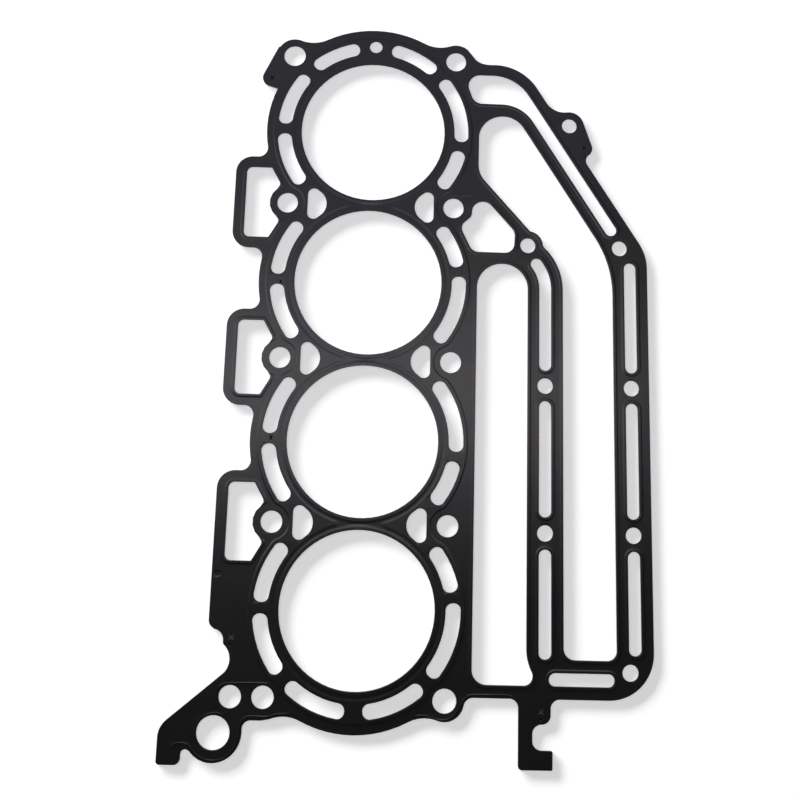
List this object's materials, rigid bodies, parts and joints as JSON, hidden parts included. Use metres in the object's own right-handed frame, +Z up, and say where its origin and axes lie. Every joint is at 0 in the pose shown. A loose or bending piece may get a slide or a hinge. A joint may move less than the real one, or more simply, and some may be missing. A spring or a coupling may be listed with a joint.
{
  "type": "cylinder head gasket",
  "caption": "Thin black-coated steel head gasket with round bore openings, coolant slots, bolt holes and an exhaust frame along one side.",
  "frame": {"origin": "centre of the first bore on the underside, which lies on the engine block", "axes": "+X towards the exhaust side, +Y from the last bore to the first, +Z up towards the cylinder head"},
  "size_m": [0.25, 0.3945, 0.0009],
  "materials": {
    "coated_steel": "satin black rubber coating on spring steel"
  },
  "bodies": {
    "root": {"head_gasket": "coated_steel"}
  },
  "joints": []
}
